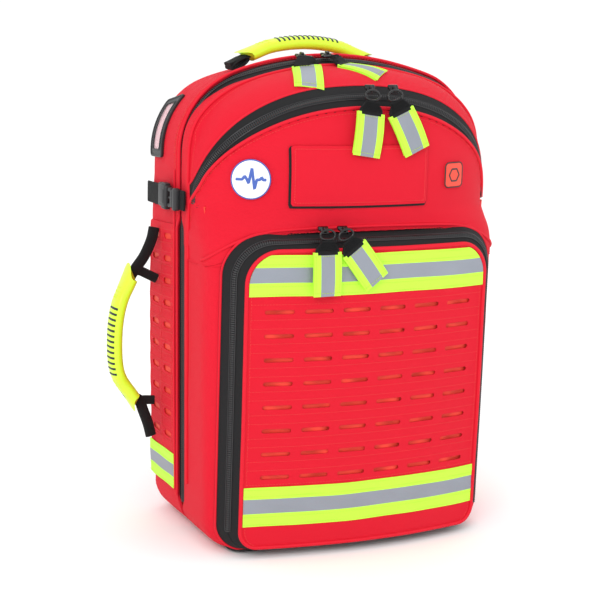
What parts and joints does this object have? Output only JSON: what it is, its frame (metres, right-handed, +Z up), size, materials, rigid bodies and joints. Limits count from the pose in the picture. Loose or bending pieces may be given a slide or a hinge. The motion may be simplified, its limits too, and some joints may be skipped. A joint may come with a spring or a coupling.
{
  "type": "trauma backpack",
  "caption": "Upright zipped medical backpack with a domed lid, two zipped front pockets, slotted panels, hi-vis bands, moulded carrying grips and padded shoulder straps.",
  "frame": {"origin": "middle of the base board where it rests on the floor, under the main zip", "axes": "+Z up; the pockets face -Y and the shoulder straps +Y; the card holder and side handle are on -X"},
  "size_m": [0.4358, 0.3142, 0.556],
  "materials": {
    "red_cloth": "woven polyester",
    "red_lining": "coated lining",
    "zip_tape": "woven zip tape with coil",
    "webbing": "woven webbing",
    "hi_vis_tape": "fluorescent tape with a silver stripe",
    "grip_plastic": "moulded grip",
    "black_metal": "black enamel",
    "black_plastic": "moulded acetal",
    "clear_film": "clear vinyl",
    "white_print": "printed",
    "patch_rubber": "moulded soft rubber",
    "foam_mesh": "spacer mesh over foam",
    "board": "polyethylene sheet"
  },
  "bodies": {
    "pack": {"rear_shell": "red_cloth", "base_board": "webbing", "frame_sheet": "board", "inner_divider": "red_lining", "rear_zip_tape": "zip_tape", "card_frame": "black_plastic", "card_window": "clear_film", "id_card": "white_print", "lumbar_pad": "foam_mesh", "side_panel_left": "red_cloth", "side_band_left": "hi_vis_tape", "strap_socket_left": "black_plastic", "back_pad_left": "foam_mesh", "adjuster_webbing_left": "webbing", "side_panel_right": "red_cloth", "side_band_right": "hi_vis_tape", "strap_socket_right": "black_plastic", "back_pad_right": "foam_mesh", "adjuster_webbing_right": "webbing"},
    "lid": {"lid_shell": "red_cloth", "lid_zip_tape": "zip_tape", "strap_prong_left": "black_plastic", "strap_prong_right": "black_plastic", "upper_lid_tape": "zip_tape", "lower_lid_tape": "zip_tape"},
    "upper_flap": {"upper_panel": "red_cloth", "upper_flap_tape": "zip_tape", "badge": "white_print", "id_backing": "zip_tape", "id_panel": "red_cloth", "maker_patch": "patch_rubber"},
    "lower_flap": {"lower_panel": "red_cloth", "lower_flap_tape": "zip_tape", "lower_lining": "red_lining", "lower_band_top": "hi_vis_tape", "lower_band_bottom": "hi_vis_tape"},
    "top_handle": {"top_webbing": "webbing", "top_grip": "grip_plastic"},
    "side_handle": {"side_webbing": "webbing", "side_grip": "grip_plastic"},
    "shoulder_left": {"shoulder_pad_left": "foam_mesh", "ladder_lock_left": "black_plastic", "sternum_strap_left": "webbing"},
    "shoulder_right": {"shoulder_pad_right": "foam_mesh", "ladder_lock_right": "black_plastic", "sternum_strap_right": "webbing"},
    "main_left_slider": {"slider_main_left": "black_metal"},
    "main_left_pull": {"pull_main_left": "hi_vis_tape"},
    "main_right_slider": {"slider_main_right": "black_metal"},
    "main_right_pull": {"pull_main_right": "hi_vis_tape"},
    "upper_left_slider": {"slider_upper_left": "black_metal"},
    "upper_left_pull": {"pull_upper_left": "hi_vis_tape"},
    "upper_right_slider": {"slider_upper_right": "black_metal"},
    "upper_right_pull": {"pull_upper_right": "hi_vis_tape"},
    "lower_left_slider": {"slider_lower_left": "black_metal"},
    "lower_left_pull": {"pull_lower_left": "hi_vis_tape"},
    "lower_right_slider": {"slider_lower_right": "black_metal"},
    "lower_right_pull": {"pull_lower_right": "hi_vis_tape"}
  },
  "joints": [
    {"name": "lid_hinge", "type": "hinge", "parent": "pack", "child": "lid", "pos_m": [0, -0.122, 0.006], "axis": [1, 0, 0], "range_deg": [0, 85]},
    {"name": "upper_flap_hinge", "type": "hinge", "parent": "lid", "child": "upper_flap", "pos_m": [0, -0.1065, 0.357], "axis": [1, 0, 0], "range_deg": [0, 75]},
    {"name": "lower_flap_hinge", "type": "hinge", "parent": "lid", "child": "lower_flap", "pos_m": [0, -0.1248, 0.014], "axis": [1, 0, 0], "range_deg": [0, 85]},
    {"name": "top_handle_tilt", "type": "hinge", "parent": "pack", "child": "top_handle", "pos_m": [0, 0.045, 0.527], "axis": [1, 0, 0], "range_deg": [-20, 20]},
    {"name": "side_handle_swing", "type": "hinge", "parent": "pack", "child": "side_handle", "pos_m": [-0.19, 0.06, 0.2], "axis": [0, 0, 1], "range_deg": [-45, 45]},
    {"name": "shoulder_left_lift", "type": "hinge", "parent": "pack", "child": "shoulder_left", "pos_m": [0, 0.122, 0.478], "axis": [1, 0, 0], "range_deg": [0, 20]},
    {"name": "shoulder_right_lift", "type": "hinge", "parent": "pack", "child": "shoulder_right", "pos_m": [0, 0.122, 0.478], "axis": [1, 0, 0], "range_deg": [0, 20]},
    {"name": "main_left_zip", "type": "hinge", "parent": "lid", "child": "main_left_slider", "pos_m": [0, -0.006, 0.1661], "axis": [0, 1, 0], "range_deg": [-12, 0]},
    {"name": "main_left_swing", "type": "hinge", "parent": "main_left_slider", "child": "main_left_pull", "pos_m": [-0.041, -0.012, 0.539], "axis": [-0.9394, 0.342, 0.0243], "range_deg": [0, 100]},
    {"name": "main_right_zip", "type": "hinge", "parent": "lid", "child": "main_right_slider", "pos_m": [0, -0.006, 0.1661], "axis": [0, 1, 0], "range_deg": [0, 12]},
    {"name": "main_right_swing", "type": "hinge", "parent": "main_right_slider", "child": "main_right_pull", "pos_m": [-0.01, -0.012, 0.541], "axis": [-0.7317, -0.6799, -0.0482], "range_deg": [0, 100]},
    {"name": "upper_left_zip", "type": "slide", "parent": "upper_flap", "child": "upper_left_slider", "axis": [1, 0, 0], "range_m": [-0.06, 0]},
    {"name": "upper_left_swing", "type": "hinge", "parent": "upper_left_slider", "child": "upper_left_pull", "pos_m": [-0.002, -0.1045, 0.494], "axis": [-0.9888, 0.0179, 0.1484], "range_deg": [0, 100]},
    {"name": "upper_right_zip", "type": "slide", "parent": "upper_flap", "child": "upper_right_slider", "axis": [1, 0, 0], "range_m": [0, 0.06]},
    {"name": "upper_right_swing", "type": "hinge", "parent": "upper_right_slider", "child": "upper_right_pull", "pos_m": [0.026, -0.1045, 0.493], "axis": [-0.9131, -0.0488, -0.4048], "range_deg": [0, 100]},
    {"name": "lower_left_zip", "type": "slide", "parent": "lower_flap", "child": "lower_left_slider", "axis": [1, 0, 0], "range_m": [-0.05, 0]},
    {"name": "lower_left_swing", "type": "hinge", "parent": "lower_left_slider", "child": "lower_left_pull", "pos_m": [-0.061, -0.1265, 0.349], "axis": [-1, 0, 0], "range_deg": [0, 100]},
    {"name": "lower_right_zip", "type": "slide", "parent": "lower_flap", "child": "lower_right_slider", "axis": [1, 0, 0], "range_m": [0, 0.09]},
    {"name": "lower_right_swing", "type": "hinge", "parent": "lower_right_slider", "child": "lower_right_pull", "pos_m": [-0.039, -0.128, 0.349], "axis": [-0.7961, -0.0182, -0.6049], "range_deg": [0, 100]}
  ]
}
